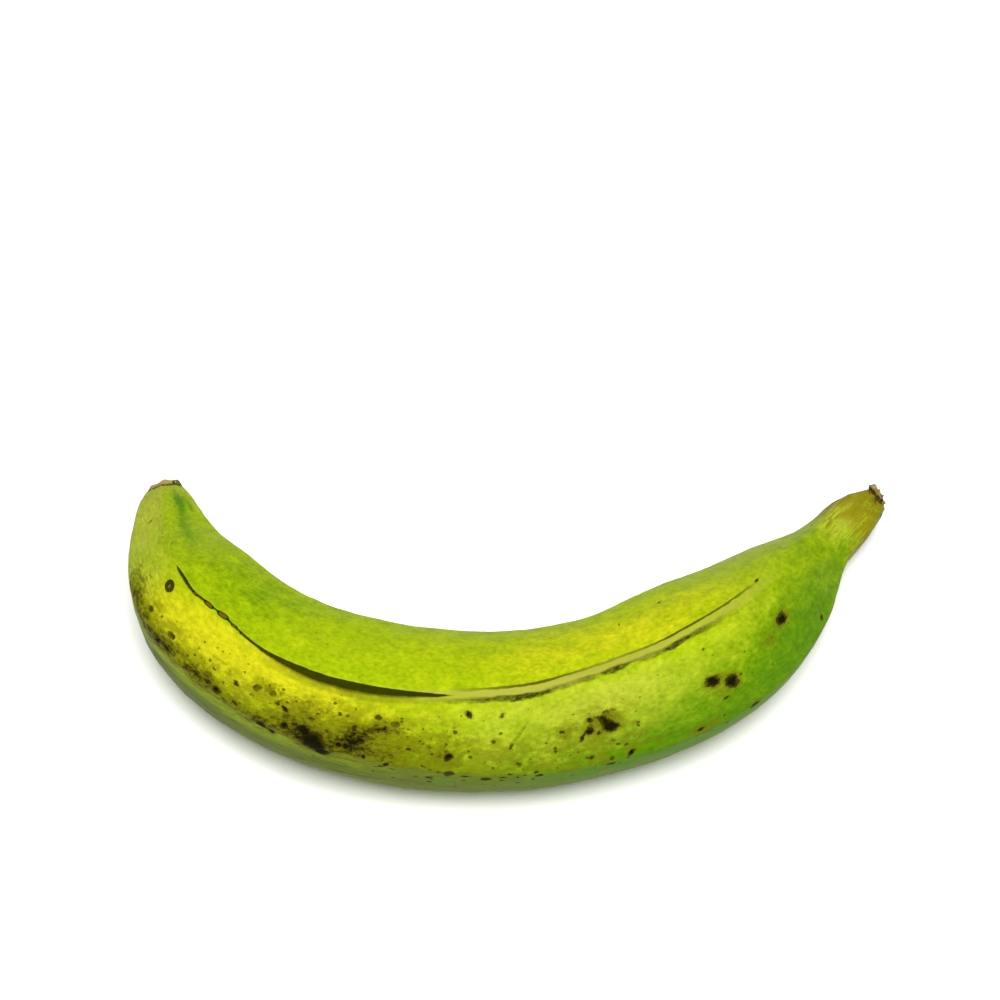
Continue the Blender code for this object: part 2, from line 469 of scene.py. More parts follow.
# Bruises with soft edges, most of them along the outer ridge
BRUISED = (
    Patch(0.143, 50, 6, 3.2, 0.70),
    Patch(0.165, 44, 6, 3, 0.75),
    Patch(0.186, 36, 5, 3.4, 0.80),
    Patch(0.202, 43, 5, 3.2, 0.65),
    Patch(0.222, 42, 5, 3.2, 0.75),
    Patch(0.250, 40, 4.5, 4, 1.05),
    Patch(0.283, 35, 5.5, 3.6, 0.80),
    Patch(0.310, 31, 4.5, 3.4, 0.85),
    Patch(0.332, 37, 4.5, 3.4, 0.85),
    Patch(0.352, 30, 4.6, 4.8, 1.20),
    Patch(0.378, 34, 4.5, 3.6, 0.70),
    Patch(0.388, 43, 4.2, 3.6, 0.90),
    Patch(0.411, 50, 4, 2.6, 0.75),
    Patch(0.306, 57, 3.5, 2.6, 0.70),
    Patch(0.345, 51, 7, 3.4, 0.65),
    Patch(0.400, 28, 9, 4, 0.60),
    Patch(0.430, 38, 9, 6, 0.50),
    Patch(0.465, 33, 5, 4, 0.50),
    Patch(0.559, 46, 4, 3.2, 0.50),
    Patch(0.597, 48, 5, 3.6, 0.80),
    Patch(0.701, 43, 5.5, 3.4, 0.65),
    Patch(0.786, 56, 3.6, 2.6, 0.60),
    Patch(0.758, 51, 4, 2.8, 0.55),
    Patch(0.674, 16, 5, 2.6, 0.75),
    Patch(0.560, 235, 6, 4, 1.00),
    Patch(0.300, 205, 9, 3, 0.90),
)

# Black clumps inside those bruises
CLUMPS = (
    Spot(0.256, 41, 1.6, 1.1, -20, 0.8),
    Spot(0.266, 39, 1.4, 1.2, -20),
    Spot(0.285, 37, 1.8, 0.8, -20, 0.7),
    Spot(0.310, 30, 1.5, 1.2, -15),
    Spot(0.319, 27, 1.3, 1.3, -15, 0.9),
    Spot(0.329, 36, 1.3, 1.2),
    Spot(0.337, 39, 1.6, 1, 0, 0.8),
    Spot(0.346, 36, 1.9, 1.5, -30, 1.1),
    Spot(0.354, 30, 2.6, 2.4, -40, 1.4),
    Spot(0.361, 23, 1.9, 1.9, -40, 1.1),
    Spot(0.385, 46, 1.5, 1, 70, 0.8),
    Spot(0.391, 39, 1.7, 1.2, -50),
)

# Small spots on the yellow face and below the middle
SPECKS = (
    Spot(0.280, 50, 1.1, 0.7, -25),
    Spot(0.319, 49, 0.9, 0.7, -25),
    Spot(0.326, 47, 1.3, 0.7, -30),
    Spot(0.323, 53, 0.6, 0.5, 20, 0.9),
    Spot(0.354, 50, 1, 0.7, 10, 0.8),
    Spot(0.375, 33, 1, 0.8, -25),
    Spot(0.381, 32, 0.6, 0.6),
    Spot(0.395, 28, 0.8, 0.8),
    Spot(0.408, 20, 0.7, 0.8),
    Spot(0.413, 24, 1.2, 0.7, 60),
    Spot(0.431, 37, 0.9, 0.6, 10),
    Spot(0.429, 44, 0.6, 0.5, 0, 0.8),
    Spot(0.440, 44, 0.7, 0.5, 0, 0.8),
    Spot(0.450, 35, 0.8, 0.6, 0, 0.7),
    Spot(0.443, 26, 1.2, 0.4, -25, 0.8),
    Spot(0.456, 22, 0.8, 0.7, 20, 0.8),
    Spot(0.464, 33, 1.4, 1.1, 65, 1.1),
    Spot(0.464, 48, 0.5, 0.5, 0, 0.9),
    Spot(0.476, 17, 1.3, 0.6),
    Spot(0.481, 63, 1.3, 0.8, -50, 1.1),
    Spot(0.510, 62, 1.2, 0.8, 40, 0.8),
    Spot(0.522, 26, 0.5, 0.6),
    Spot(0.520, 15, 0.7, 0.7),
)

# Spots right of the middle: a cluster, a dark pair and single ones
CLUSTERS = (
    Spot(0.559, 47, 1, 1, 0, 0.8),
    Spot(0.562, 42, 0.7, 0.6),
    Spot(0.575, 39, 1.3, 0.7, 65),
    Spot(0.584, 51, 1.2, 1.2, 0, 0.9),
    Spot(0.582, 43, 1.2, 1.1, 0, 1.1),
    Spot(0.589, 40, 0.8, 0.9, 0, 0.8),
    Spot(0.595, 49, 2.5, 1.3, -42),
    Spot(0.600, 43, 1.9, 1.4, -20, 1.3),
    Spot(0.605, 53, 1.6, 1.2, -15, 0.6),
    Spot(0.693, 47, 2.4, 1.6, 0, 1.15),
    Spot(0.710, 40, 2, 2, 0, 1.15),
    Spot(0.786, 57, 2.6, 1.5, 20, 1.15),
    Spot(0.829, 26, 0.9, 0.8, 75),
    Spot(0.824, 34, 0.7, 0.5, -40, 0.9),
    Spot(0.723, 12, 1.8, 1.5, 0, 0.9),
    Spot(0.613, 18, 1.3, 0.7, 40),
    Spot(0.596, 12, 1.3, 1.1, 0, 0.9),
    Spot(0.698, 71, 0.6, 0.5),
)

# Scratches, streaks and a few faint marks
SCRATCHES = (
    Spot(0.071, 70, 1.9, 0.5, -49, 0.6),
    Spot(0.105, 80, 0.7, 0.4, 0, 0.5),
    Spot(0.124, 88, 1.9, 0.4, -31, 0.5),
    Spot(0.524, 49, 4.8, 0.5, 54, 0.65),
    Spot(0.516, 40, 1, 0.6, 54, 0.9),
    Spot(0.621, 29, 2.4, 0.3, 43, 0.7),
    Spot(0.614, 20, 1, 0.5, 37, 0.8),
    Spot(0.699, 31, 1.3, 0.4, 0, 0.8),
    Spot(0.672, 17, 2, 0.8, 10, 0.7),
    Spot(0.695, 11, 0.8, 0.6, 5, 0.8),
    Spot(0.693, 125, 1.2, 0.7, -10, 0.7),
    Spot(0.641, 120, 0.5, 0.5, 0, 0.9),
    Spot(0.795, 95, 1.1, 0.4, 10, 0.9),
    Spot(0.970, 160, 2.2, 0.8, 0, 0.8),
)

# On the faces that the camera doesn't see
BACK_SPOTS = (
    Spot(0.380, 200, 3.4, 2.2, 20, 0.9),
    Spot(0.700, 190, 4, 0.9, 5, 0.8),
    Spot(0.760, 300, 2.4, 1.6, 30, 0.9),
    Spot(0.260, 300, 3, 1, 10, 0.8),
    Spot(0.170, 190, 1.6, 1.2, 0, 0.8),
)

# Beside the dark line, dark at its edge and paler inside
RING_SPOT = Spot(0.174, 72.0, 2.2, 1.7, -31.0)

# Dried brown pieces in the dark line on the top ridge
CORKY = (
    Spot(0.198, 82.3, 0.9, 0.34, 0, 0.9),
    Spot(0.217, 83.7, 1.5, 0.52),
    Spot(0.235, 84.4, 1.8, 0.62),
    Spot(0.251, 82.8, 0.9, 0.40, 0, 0.9),
    Spot(0.263, 80.9, 1.1, 0.30, 0, 0.8),
)

# The fields of patches and of spots, by the name that the materials read
PATCHES = {
    "ripeness_and_low_shade": RIPENESS_AND_LOW_SHADE,
    "straw": STRAW,
    "khaki": KHAKI_AND_PAINTED_SHADE,
    "freckled": FRECKLED,
    "streaked": STREAKED,
    "bruised": BRUISED,
}
SPOTS = {
    "spots": CLUMPS + SPECKS + CLUSTERS + SCRATCHES + BACK_SPOTS,
    "ring": (RING_SPOT,),
    "corky": CORKY,
}


@dataclass(frozen=True)
class RidgeMarks:
    """How the marks on the top ridge run along the fruit.

    Attributes:
        place: Where their middle lies, in mm from the ridge, inner side above 0.
        tan: Strength of the pale band that the ridge has to the right.
        upper_line: Strength of the thin dark line on that band's inner edge.
        lower_line: Strength of the smudged line on its outer edge.
        seam: Half width in mm of the dark line that the ridge has to the left; where it widens, from
            about 0.28 of the length on, it is painted shadow below the ridge as well.
        shadow: Strength of the painted shadow, a soft olive band on the line's outer side.
    """

    place: Curve = Curve(
        (0.17, 0.20, 0.21, 0.24, 0.26, 0.29, 0.32, 0.36, 0.42,
         0.50, 0.54, 0.57, 0.62, 0.66, 0.70, 0.735, 0.80),
        (-0.7, -0.6, 0.0, 0.9, 0.4, -0.4, -0.9, -1.4, -1.5,
         -1.3, -1.0, 0.0, 1.0, 0.4, 0.0, -0.6, -1.7),
    )
    tan: Curve = Curve((0.40, 0.48, 0.70, 0.78, 0.84), (0.0, 1.0, 0.9, 0.5, 0.0))
    upper_line: Curve = Curve(
        (0.46, 0.50, 0.56, 0.60, 0.64, 0.68, 0.72, 0.77, 0.80),
        (0.0, 0.7, 0.9, 0.5, 0.6, 1.0, 0.9, 0.7, 0.0),
    )
    lower_line: Curve = Curve(
        (0.44, 0.50, 0.545, 0.57, 0.62, 0.65, 0.67, 0.70, 0.75),
        (0.0, 0.9, 1.0, 0.5, 1.0, 0.5, 1.0, 0.8, 0.0),
    )
    # From 0.28 on, the black line widens on its outer side as painted shadow below the ridge
    seam: Curve = Curve(
        (0.155, 0.170, 0.19, 0.21, 0.26, 0.28, 0.295, 0.315, 0.34, 0.38, 0.42, 0.47),
        (0.0, 0.45, 0.42, 0.30, 0.30, 0.38, 0.60, 1.00, 1.25, 1.40, 1.1, 0.0),
    )
    shadow: Curve = Curve((0.28, 0.31, 0.36, 0.41, 0.47), (0.0, 0.7, 1.0, 0.8, 0.0))

    def read(self, along: np.ndarray) -> dict[str, np.ndarray]:
        """Each curve read at shares of the length, as ridge_ and its name."""
        return {"ridge_" + name: curve.read(along) for name, curve in vars(self).items()}


@dataclass
class Grid:
    """The points of the body's skin: a row a ring, a column a place round it.

    Attributes:
        length: Length of the fruit in metres.
        along: Share of the length of each ring.
        thick: Half thickness of each ring in mm, as a column.
        angles: Angles round the section in radians.
        radius: Radii of the smooth skin in metres.
        across: Mm from the top ridge, inner side above 0, with one column more.
        straight: Places on the straightened fruit in mm.
        side_blend: Mm over which a patch fades at the top ridge, on either side.
    """

    length: float
    along: np.ndarray
    thick: np.ndarray
    angles: np.ndarray
    radius: np.ndarray
    across: np.ndarray
    straight: np.ndarray
    side_blend: float = 0.5

    def away(self, mark: Union[Patch, Spot]) -> tuple[np.ndarray, np.ndarray]:
        """Mm from a mark's middle to each point, along the fruit and round it.

        Args:
            mark: The patch or spot.

        Returns:
            The two distances, the first as a column.
        """
        u = ((self.along - mark.along) * self.length / MM)[:, None]
        v = wrapped(self.angles - np.radians(mark.around)) * self.thick
        return u, v

    def patched(self, patches: tuple[Patch, ...]) -> np.ndarray:
        """Sum of soft patches: strength * exp(-(u * u + v * v)), u and v in reaches.

        Args:
            patches: The patches.

        Returns:
            The field's values.
        """
        total = np.zeros_like(self.angles)
        for patch in patches:
            u, v = self.away(patch)
            keep = 1.0
            if patch.side is not Side.BOTH:
                keep = step(self.across[:, :-1] * patch.side.value, -self.side_blend, self.side_blend)
            total += patch.strength * np.exp(-((u / patch.reach) ** 2 + (v / patch.width) ** 2)) * keep
        return total

    def spotted(self, spots: tuple[Spot, ...]) -> np.ndarray:
        """Highest of the spots: strength less the distance from its middle.

        The distance is 1 at a spot's edge.  The field is never below -1.

        Args:
            spots: The spots.

        Returns:
            The field's values.
        """
        field = np.full_like(self.angles, -1.0)
        for spot in spots:
            u, v = self.away(spot)
            lean = np.radians(spot.lean)
            longer = (u * np.cos(lean) + v * np.sin(lean)) / spot.reach
            shorter = (v * np.cos(lean) - u * np.sin(lean)) / spot.width
            field = np.maximum(field, spot.strength - np.hypot(longer, shorter))
        return field


@dataclass(frozen=True)
class EndProfile:
    """How an end closes: the last ring of the body, shrunk and pushed out.

    Attributes:
        share: Size of a ring as a share of the last one, over the way in.
        push: How far a ring stands out from the last one, in metres.
        tilt: How far the end leans, as push for each metre of reach.
        tilt_towards: Angle round the section of the side that stands out most.
        rings: Rings from the body to the middle.
        peel_rows: Rows of faces, counted from the body, that are still peel.
    """

    share: Curve
    push: Curve
    tilt: float
    tilt_towards: float
    rings: int
    peel_rows: int


@dataclass
class OpenEnd:
    """An end of the body that isn't closed yet.

    Attributes:
        ring: The last ring of points.
        centre: Its centre.
        direction: The way out of that end.
        angles: Angles of its points in radians.
    """

    ring: np.ndarray
    centre: np.ndarray
    direction: np.ndarray
    angles: np.ndarray

    def closed(self, profile: EndProfile) -> tuple[np.ndarray, np.ndarray, np.ndarray]:
        """Rings from the body to the middle: centre + reach * share + push * direction.

        Args:
            profile: How the end closes.

        Returns:
            The rings, the way in from 0 to 1, and each ring's share of the last one.
        """
        way = np.linspace(0.0, 1.0, profile.rings + 1)[1:]
        share = profile.share.read(way)[:, None]
        reach = self.ring - self.centre
        length = np.linalg.norm(reach, axis=1)
        lean = profile.tilt * length * np.cos(self.angles - np.radians(profile.tilt_towards))
        push = profile.push.read(way)[:, None] + lean * share
        points = self.centre + reach * share[:, :, None] + push[:, :, None] * self.direction
        return points, way, share


@dataclass(frozen=True)
class CutStem:
    """The cut stem: a rolled, torn rim round a fibrous face with round pits.

    A pit is a dip of exp(-d * d), d from its middle in its radii.  Pits stand
    on a sunflower spiral, each one `pit_turn` degrees on from the last.  Sizes
    of the pits and heights of the relief are in mm.
    """

    profile: EndProfile = EndProfile(
        share=Curve((0.0, 0.06, 0.12, 0.20, 0.30, 0.60, 1.0), (1.0, 0.97, 0.92, 0.84, 0.74, 0.45, 0.04)),
        push=Curve(
            (0.0, 0.06, 0.12, 0.20, 0.30, 0.60, 1.0),
            (0.0, 0.0004, 0.0007, 0.0008, 0.0004, 0.0, 0.0002),
        ),
        tilt=0.05,
        tilt_towards=90.0,
        rings=26,
        peel_rows=4,
    )
    start: float = 0.0035
    torn_side: float = 45.0
    torn_share: float = 0.014
    torn_rise: float = 0.55
    fibre_rise: float = 0.22
    fibre_scale: float = 1.6
    pits: int = 13
    pit_turn: float = 137.5
    pit_spread: float = 4.1
    pit_radius: float = 0.34
    pit_uneven: float = 0.12
    pit_depth: float = 0.55

    def torn_rim(self, grid: Grid) -> np.ndarray:
        """How torn the peel is by the cut: most on one side, and none further down.

        Args:
            grid: The points of the skin.

        Returns:
            Values from 0 to 1.
        """
        near = 1 - step(grid.along, self.start, self.start + self.torn_share)
        return near[:, None] * (0.5 + 0.5 * np.cos(grid.angles - np.radians(self.torn_side)))

    def pitted(self, x: np.ndarray, y: np.ndarray) -> np.ndarray:
        """How deep each point of the cut lies in a pit.

        Args:
            x: Places on the cut in mm.
            y: The same, square to `x`.

        Returns:
            1 in the middle of a pit, falling to 0 away from it.
        """
        hollow = np.zeros_like(x)
        for number in range(self.pits):
            turn = np.radians(self.pit_turn) * number
            far = self.pit_spread * np.sqrt((number + 0.5) / self.pits)
            size = self.pit_radius + self.pit_uneven * np.cos(2.1 * number)
            away = np.hypot(x - far * np.cos(turn), y - far * np.sin(turn)) / size
            hollow = np.maximum(hollow, np.exp(-(away**2)))
        return hollow

    def close(self, end: OpenEnd) -> tuple[np.ndarray, np.ndarray]:
        """Close the stem's end.

        Args:
            end: The stem's end.

        Returns:
            The rings, and how hollow each point is.
        """
        points, way, share = end.closed(self.profile)
        reach = np.linalg.norm(end.ring - end.centre, axis=1)
        x = share * reach * np.cos(end.angles) / MM
        y = share * reach * np.sin(end.angles) / MM
        hollow = self.pitted(x, y)
        flat = np.stack((x * self.fibre_scale, y * self.fibre_scale, way[:, None] + 0 * x), axis=2)
        circle = np.stack((3 * np.cos(end.angles), 3 * np.sin(end.angles), 0 * end.angles), axis=1)
        fibres = Grain(Seed.FIBRES).read(flat, 3)
        torn = Grain(Seed.TORN_RIM).read(circle, 3)
        face = step(way, 0.22, 0.34)[:, None]
        rim = (1 - step(way, 0.20, 0.34))[:, None] * step(way, 0.02, 0.12)[:, None]
        push = (self.fibre_rise * fibres - self.pit_depth * hollow) * face + self.torn_rise * torn * rim
        # How deep each point lies in a pit, which the cut's material darkens as painted shade
        return points + (push * MM)[:, :, None] * end.direction, hollow * face


@dataclass(frozen=True)
class FlowerScar:
    """The flower scar: a black neck, then a ragged crust that leans to one side.

    The crust's edge is one wave round the scar, which moves it off centre, and
    three shorter ones, each with a height, a count and a phase.  A notch cuts it
    open, and noise breaks it up.  All of these are shares of the crust's reach,
    but the rise of its lumpy top, which is in mm.
    """

    profile: EndProfile = EndProfile(
        share=Curve(
            (0.0, 0.10, 0.20, 0.28, 0.38, 0.50, 0.62, 0.80, 1.0),
            (1.0, 0.90, 0.70, 0.52, 0.62, 0.68, 0.60, 0.38, 0.03),
        ),
        push=Curve(
            (0.0, 0.10, 0.20, 0.28, 0.38, 0.50, 0.62, 0.80, 1.0),
            (0.0, 0.0002, 0.0004, 0.0006, 0.0008, 0.0018, 0.0026, 0.0026, 0.0026),
        ),
        tilt=0.08,
        tilt_towards=125.0,
        rings=44,
        peel_rows=3,
    )
    lean: float = 0.40
    waves: tuple[tuple[float, int, float], ...] = ((0.09, 3, 0.6), (0.07, 5, 2.1), (0.05, 8, 0.3))
    notch: float = 0.50
    notch_at: float = 48.0
    notch_half: float = 17.0
    lumps: float = 0.20
    lump_scale: float = 1.3
    top_rise: float = 0.55
    top_scale: float = 1.8
    dry_from: float = 0.90
    dry_to: float = 0.975
    tip_from: float = 0.982
    tip_share: float = 0.35

    def dried(self, along: np.ndarray) -> np.ndarray:
        """How dry the peel is: a slow rise over the neck, and a last one at its tip."""
        slow, last = step(along, self.dry_from, self.dry_to), step(along, self.tip_from, 1.0)
        return (1 - self.tip_share) * slow + self.tip_share * last

    def close(self, end: OpenEnd) -> tuple[np.ndarray, np.ndarray]:
        """Close the flower's end.

        Args:
            end: The flower's end.

        Returns:
            The rings, and how hollow each point is.
        """
        points, way, _ = end.closed(self.profile)
        angles = end.angles
        crust = step(way, 0.20, 0.42)[:, None] * (1 - step(way, 0.80, 1.0))[:, None]
        waves = sum(height * np.sin(count * angles + phase) for height, count, phase in self.waves)
        lean = self.lean * np.cos(angles - np.radians(self.profile.tilt_towards))
        away = points - end.centre
        reach = away - np.einsum("rcx,x->rc", away, end.direction)[:, :, None] * end.direction
        lumps = Grain(Seed.CRUST).read(away / MM * self.lump_scale, 3)
        turn = wrapped(angles - np.radians(self.notch_at)) / np.radians(self.notch_half)
        notch = np.exp(-(turn**2))
        edge = crust * (lean + waves - self.notch * notch + self.lumps * lumps)
        uneven = Grain(Seed.CRUST_TOP).read(away / MM * self.top_scale, 3)
        top = step(way, 0.46, 0.60)[:, None] * self.top_rise * uneven
        pushed = points + reach * edge[:, :, None] + (top * MM)[:, :, None] * end.direction
        neck = (1 - step(way, 0.36, 0.46))[:, None] * step(way, 0.10, 0.20)[:, None] * np.ones_like(edge)
        gap = crust * 0.9 * step(notch, 0.35, 0.8)
        # The neck is black of its own; the notch's gap and the low parts of the lumps get painted shade
        return pushed, np.maximum(np.maximum(neck, gap), 0.30 * step(-lumps, 0.1, 0.7))


class Zone(Enum):
    """The finishes of the fruit's one surface, by material index."""

    PEEL = 0
    CORK = 1
    SCAR = 2


@dataclass
class Surface:
    """A closed ring surface before it becomes a mesh.

    Attributes:
        points: Rings of points, from the first end to the last.
        fields: Named values, one for each point, as 1 or 3 numbers.
        chart: Place on the flat skin in mm, with one more column than `points`.
        zones: The zone of each row of faces.
    """

    points: np.ndarray
    fields: dict[str, np.ndarray]
    chart: np.ndarray
    zones: np.ndarray


def ring_mesh(name: str, surface: Surface) -> bpy.types.Mesh:
    """Make the mesh of a closed ring surface.

    Faces run from ring to ring, their corners in the order near, far, far,
    near, which turns them outwards.  A fan closes each end on a hub.

    Args:
        name: The mesh's name.
        surface: The rings, with their fields, chart and zones.

    Returns:
        The mesh, smooth shaded, with its map and attributes.
    """
    rings, columns = surface.points.shape[:2]
    number = np.arange(rings * columns).reshape(rings, columns)
    beside = np.roll(number, -1, axis=1)
    quads = np.stack((number[:-1], number[1:], beside[1:], beside[:-1]), axis=2).reshape(-1, 4)
    first_hub, last_hub = rings * columns, rings * columns + 1
    first_fan = np.stack((np.full(columns, first_hub), number[0], beside[0]), axis=1)
    last_fan = np.stack((np.full(columns, last_hub), beside[-1], number[-1]), axis=1)
    hubs = np.stack((surface.points[0].mean(axis=0), surface.points[-1].mean(axis=0)))
    points = np.concatenate((surface.points.reshape(-1, 3), hubs))
    mesh = bpy.data.meshes.new(name)
    mesh.from_pydata(points.tolist(), [], quads.tolist() + first_fan.tolist() + last_fan.tolist())
    write_chart(mesh, surface.chart)
    for field_name, values in surface.fields.items():
        write_field(mesh, field_name, values)
    ends = (surface.zones[:1], surface.zones[-1:])
    by_face = [np.repeat(surface.zones, columns)] + [np.repeat(end, columns) for end in ends]
    mesh.polygons.foreach_set("material_index", np.concatenate(by_face).astype(np.int32))
    mesh.shade_smooth()
    mesh.update()
    return mesh


def write_chart(mesh: bpy.types.Mesh, chart: np.ndarray) -> None:
    """Write the flat skin as the mesh's own map, whose last column meets the first.

    Args:
        mesh: A mesh made by `ring_mesh`.
        chart: Place of each ring point in mm, with one column more than points.
    """
    near, far = chart[:-1], chart[1:]
    corners = np.stack((near[:, :-1], far[:, :-1], far[:, 1:], near[:, 1:]), axis=2)
    first, last = chart[0], chart[-1]
    hub_first = np.broadcast_to(first.mean(axis=0), first[:-1].shape)
    hub_last = np.broadcast_to(last.mean(axis=0), last[:-1].shape)
    fan_first = np.stack((hub_first, first[:-1], first[1:]), axis=1)
    fan_last = np.stack((hub_last, last[1:], last[:-1]), axis=1)
    flat = np.concatenate((corners.reshape(-1, 2), fan_first.reshape(-1, 2), fan_last.reshape(-1, 2)))
    layer = mesh.uv_layers.new(name="skin")
    layer.uv.foreach_set("vector", flat.astype(np.float32).ravel())


def write_field(mesh: bpy.types.Mesh, name: str, values: np.ndarray) -> None:
    """Write one named value for each point, the hubs taking their ring's mean.

    Args:
        mesh: A mesh made by `ring_mesh`.
        name: The attribute's name.
        values: Rings of values, as 1 or 3 numbers a point.
    """
    wide = values.ndim == 3
    hubs = np.stack((values[0].mean(axis=0), values[-1].mean(axis=0)))
    flat = np.concatenate((values.reshape(-1, 3), hubs) if wide else (values.ravel(), hubs))
    kind, key = ("FLOAT_VECTOR", "vector") if wide else ("FLOAT", "value")
    layer = mesh.attributes.new(name=name, type=kind, domain="POINT")
    layer.data.foreach_set(key, flat.astype(np.float32).ravel())


def add_piece(name: str, mesh: bpy.types.Mesh) -> bpy.types.Object:
    """Link a finished mesh, let it ride on the fruit's body and hide the imported part.

    Args:
        name: The piece's name.
        mesh: Its mesh, already in place.

    Returns:
        The new object.
    """
    piece = bpy.data.objects.new(name, mesh)
    bpy.context.scene.collection.objects.link(piece)
    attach(piece, BODY)
    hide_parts(NODE)
    LOG.info("%s: %d faces", name, len(mesh.polygons))
    return piece


class Value:
    """One output of a node tree, so that shader maths reads as Python sums."""

    def __init__(self, tree: "Tree", socket: bpy.types.NodeSocket) -> None:
        """Wrap `socket` of `tree`."""
        self.tree = tree
        self.socket = socket

    def __add__(self, other: "Number") -> "Value":
        """Sum."""
        return self.tree.maths("ADD", self, other)

    def __radd__(self, other: "Number") -> "Value":
        """Sum, with the number first."""
        return self.tree.maths("ADD", other, self)

    def __sub__(self, other: "Number") -> "Value":
        """Difference."""
        return self.tree.maths("SUBTRACT", self, other)

    def __rsub__(self, other: "Number") -> "Value":
        """Difference, with the number first."""
        return self.tree.maths("SUBTRACT", other, self)

    def __mul__(self, other: "Number") -> "Value":
        """Product."""
        return self.tree.maths("MULTIPLY", self, other)

    def __rmul__(self, other: "Number") -> "Value":
        """Product, with the number first."""
        return self.tree.maths("MULTIPLY", other, self)

    def __abs__(self) -> "Value":
        """Distance from 0."""
        return self.tree.maths("ABSOLUTE", self)

    def most(self, other: "Number") -> "Value":
        """The larger of the two."""
        return self.tree.maths("MAXIMUM", self, other)

    def least(self, other: "Number") -> "Value":
        """The smaller of the two."""
        return self.tree.maths("MINIMUM", self, other)

    def step(self, low: "Number", high: "Number") -> "Value":
        """Smooth step from 0 at `low` to 1 at `high`.

        Args:
            low: Where the step starts.
            high: Where it ends.

        Returns:
            The stepped value.
        """
        settings = {"interpolation_type": "SMOOTHSTEP"}
        sockets = {"Value": self, "From Min": low, "From Max": high}
        return self.tree.node("ShaderNodeMapRange", settings, sockets)

    def window(self, middle: "Number", half: "Number", soft: float) -> "Value":
        """1 within `half` of `middle`, falling to 0 over `soft` beyond it."""
        return (half + soft - abs(self - middle)).step(0.0, soft)


Number = Union[float, Value]
Key = Union[str, int]


